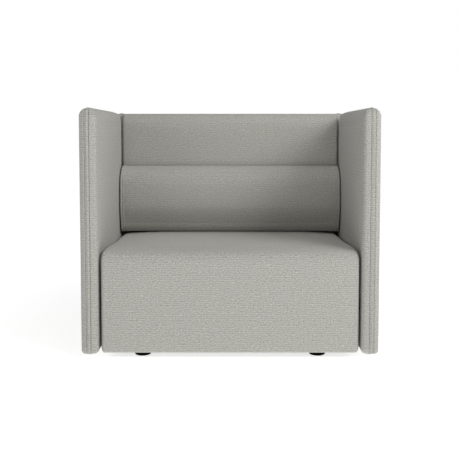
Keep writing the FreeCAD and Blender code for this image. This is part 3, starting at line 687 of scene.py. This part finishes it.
def upholsteredBolster():
    look = bolsterLook
    nodes = ["bolster_wrap", "bolster_end_caps"]
    low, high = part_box("bolster_wrap")
    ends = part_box("bolster_end_caps")[1][0]
    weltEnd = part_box("bolster_welts")[1][0]
    middle = (np.array(low) + np.array(high)) / 2

    def pinned(points):
        x, y, z = points.T
        hold = look["hold"]
        return (np.abs(x) > ends - look["endHold"]) | (y > high[1] - hold) | (z < low[2] + hold)

    # the front is plump above and turns under at the foot; the end caps are full, but drawn in at the top
    def capDraw(points, normals):
        front = ease(points[:, 1], middle[1], low[1])
        rise = np.clip((points[:, 2] - low[2]) / (high[2] - low[2]), 0, 1)
        spread = 1 - np.clip(np.abs(points[:, 0]) / ends, 0, 1) ** look["bulgeEnds"]
        points[:, 1] -= look["bulge"] * front * spread * np.sin(math.pi * rise) ** 2
        points[:, 1] += look["undercut"] * front * ease(rise, *look["underRise"])
        share = np.clip((np.abs(points[:, 0]) - weltEnd) / (ends - weltEnd), 0, 1)
        inward = middle - points
        inward[:, 0] = 0
        inward /= np.linalg.norm(inward, axis=1)[:, None]
        points[:, 0] -= np.sign(points[:, 0]) * look["endDraw"] * ease(share, *look["capShare"])
        draw = -look["capFill"] * ease(rise, *look["footRise"])
        draw += (look["capDraw"] + look["capFill"]) * ease(rise, *look["topRise"])
        return points + inward * (draw * (1 - np.sqrt(1 - share ** 2)))[:, None]

    form = cushion("bolsterCushion", nodes, look, pinned, capDraw)
    placed(form, "bolster")
    for name, side in (("Left", -1), ("Right", 1)):
        level = side * ((weltEnd + high[0]) / 2 + look["seamShift"])
        strip, rows = seam(f"bolster{name}Seam", form, 0, level, bolsterSeam, side)
        placed(strip, "bolster")
        placed(rows, "bolster")
    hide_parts("bolster_welts")
    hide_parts(*nodes, "bolster_core")


upholsteredBolster()
print("stage: bolster made")


# Feet: moulded discs with eased rims and a shallow recess round the stem.
# The rim runs from the middle of the base to the middle of the top, in shares of the radius and the height.
footLook = {
    "segments": 64,
    "rim": [(0.0, 0.0), (0.86, 0.0), (0.94, 0.04), (0.985, 0.14), (1.0, 0.3), (1.0, 0.72), (0.985, 0.86),
            (0.93, 0.97), (0.86, 1.0), (0.5, 1.0), (0.46, 0.93), (0.0, 0.93)],
}


def levellingFoot(spot):
    low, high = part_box(f"{spot}_foot_pad")
    centre = (low + high) / 2
    radius = (high[0] - low[0]) / 2
    height = high[2] - low[2]
    segments = footLook["segments"]
    vertices, faces = [], []
    rings = len(footLook["rim"])
    for k in range(segments):
        angle = 2 * math.pi * k / segments
        for reach, level in footLook["rim"]:
            vertices.append((centre.x + math.cos(angle) * reach * radius,
                             centre.y + math.sin(angle) * reach * radius, low[2] + level * height))
        after = (k + 1) % segments
        for i in range(rings - 1):
            faces.append((k * rings + i, after * rings + i, after * rings + i + 1, k * rings + i + 1))
    pad = meshObject(f"{spot}FootDisc", vertices, faces, plastic)
    mesh = bmesh.new()
    mesh.from_mesh(pad.data)
    bmesh.ops.remove_doubles(mesh, verts=mesh.verts, dist=1e-6)
    bmesh.ops.recalc_face_normals(mesh, faces=mesh.faces)
    mesh.to_mesh(pad.data)
    mesh.free()
    placed(pad, f"{spot}_foot")
    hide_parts(f"{spot}_foot_pad")


for spot in ("front_left", "front_right", "rear_left", "rear_right"):
    levellingFoot(spot)
print("stage: feet made")


# Stage: white paper that keeps the shadow, a white ground behind it, and broad soft lamps in front.
stageLook = {
    "floor": 40, "paper": "#e8e8e8", "paperOwnLight": 0.74, "shadow": "#dbdbdb", "white": "#ffffff",
    "ambient": 0.2, "glowDimmedNearChair": (0.74, 0.865), "paintedShadeReach": (0.9, 2.5), "aim": (0, 0, 0.5),
    "lamps": {
        "right": {"place": (2.6, -2.2, 2.7), "size": 1.7, "power": 76},
        "left": {"place": (-1.7, -2.3, 1.1), "size": 1.0, "power": 8},
        "above": {"place": (0, 0.4, 3.5), "size": 1.5, "power": 8},
        "front": {"place": (0.3, -1.2, 3.4), "size": 1.0, "power": 12},
    },
}


def seenRays(tree):
    rays = addNode(tree, "ShaderNodeLightPath").outputs
    seen = rays["Is Camera Ray"]
    for other in ("Is Glossy Ray", "Is Transmission Ray"):
        seen = addNode(tree, "ShaderNodeMath", {"operation": "MAXIMUM"}, {0: seen, 1: rays[other]})
    return seen


# Seamless paper: flat white, lifted to the white of the ground where the camera sees it, and less so round
# the chair, where the lamps make up for it outside the chair's shadow: painted shade round the chair that
# deepens its shadow. It also glows with painted light of its own on to the chair.
def paperMaterial():
    material, tree = newMaterial("studioPaper")
    paper = addNode(tree, "ShaderNodeBsdfDiffuse", inputs={"Color": linear(stageLook["paper"])})
    # the paper glows for the rays that light the chair: painted light from below, as from a lamp
    ownLight = addNode(tree, "ShaderNodeEmission", inputs={"Strength": stageLook["paperOwnLight"]})
    plain = addNode(tree, "ShaderNodeAddShader", inputs={0: paper, 1: ownLight})
    shaded = addNode(tree, "ShaderNodeBsdfDiffuse", inputs={"Color": linear(stageLook["shadow"])})
    spot = addNode(tree, "ShaderNodeTexCoord").outputs["Object"]
    reach = addNode(tree, "ShaderNodeVectorMath", {"operation": "LENGTH"}, {0: spot}).outputs["Value"]
    near, far = stageLook["paintedShadeReach"]
    low, high = stageLook["glowDimmedNearChair"]
    # the glow is dimmer within this reach of the chair: painted shade round it, seen where the lamps' light
    # is blocked
    strength = addNode(tree, "ShaderNodeMapRange", {"interpolation_type": "SMOOTHSTEP"}, {
        "Value": reach, "From Min": near, "From Max": far, "To Min": low, "To Max": high})
    glowDimmedNearChair = addNode(tree, "ShaderNodeEmission", inputs={
        "Color": linear(stageLook["white"]), "Strength": strength})
    lifted = addNode(tree, "ShaderNodeAddShader", inputs={0: shaded, 1: glowDimmedNearChair})
    mix = addNode(tree, "ShaderNodeMixShader", inputs={0: seenRays(tree), 1: plain, 2: lifted})
    addNode(tree, "ShaderNodeOutputMaterial", inputs={"Surface": mix})
    return material


def buildStage():
    size = stageLook["floor"]
    corners = [(-size, -size, 0), (size, -size, 0), (size, size, 0), (-size, size, 0)]
    meshObject("paper", corners, [(0, 1, 2, 3)], paperMaterial())
    world = bpy.data.worlds.new("studio")
    scene.world = world
    world.use_nodes = True
    tree = world.node_tree
    tree.nodes.clear()
    colour = linear(stageLook["white"])
    soft = addNode(tree, "ShaderNodeBackground", inputs={"Color": colour, "Strength": stageLook["ambient"]})
    white = addNode(tree, "ShaderNodeBackground", inputs={"Color": colour, "Strength": 1.0})
    mix = addNode(tree, "ShaderNodeMixShader", inputs={0: seenRays(tree), 1: soft, 2: white})
    addNode(tree, "ShaderNodeOutputWorld", inputs={"Surface": mix})
    for name, look in stageLook["lamps"].items():
        light = bpy.data.lights.new(name, "AREA")
        light.energy = look["power"]
        light.size = look["size"]
        lamp = bpy.data.objects.new(name, light)
        scene.collection.objects.link(lamp)
        lamp.location = look["place"]
        ahead = Vector(stageLook["aim"]) - lamp.location
        lamp.rotation_euler = ahead.to_track_quat("-Z", "Y").to_euler()


buildStage()

# Camera: in front, a little below the panels' tops, the picture shifted down on to the chair.
cameraLook = {"place": (0, -3.21, 0.909), "pitch": 3.4, "sensor": 36, "lens": 55.4, "shift": -0.1178}
lens = bpy.data.cameras.new("camera")
lens.sensor_width = cameraLook["sensor"]
lens.lens = cameraLook["lens"]
lens.shift_y = cameraLook["shift"]
camera = bpy.data.objects.new("camera", lens)
scene.collection.objects.link(camera)
camera.location = cameraLook["place"]
camera.rotation_euler = (math.radians(90 - cameraLook["pitch"]), 0, 0)
scene.camera = camera
print("stage: camera and light set")
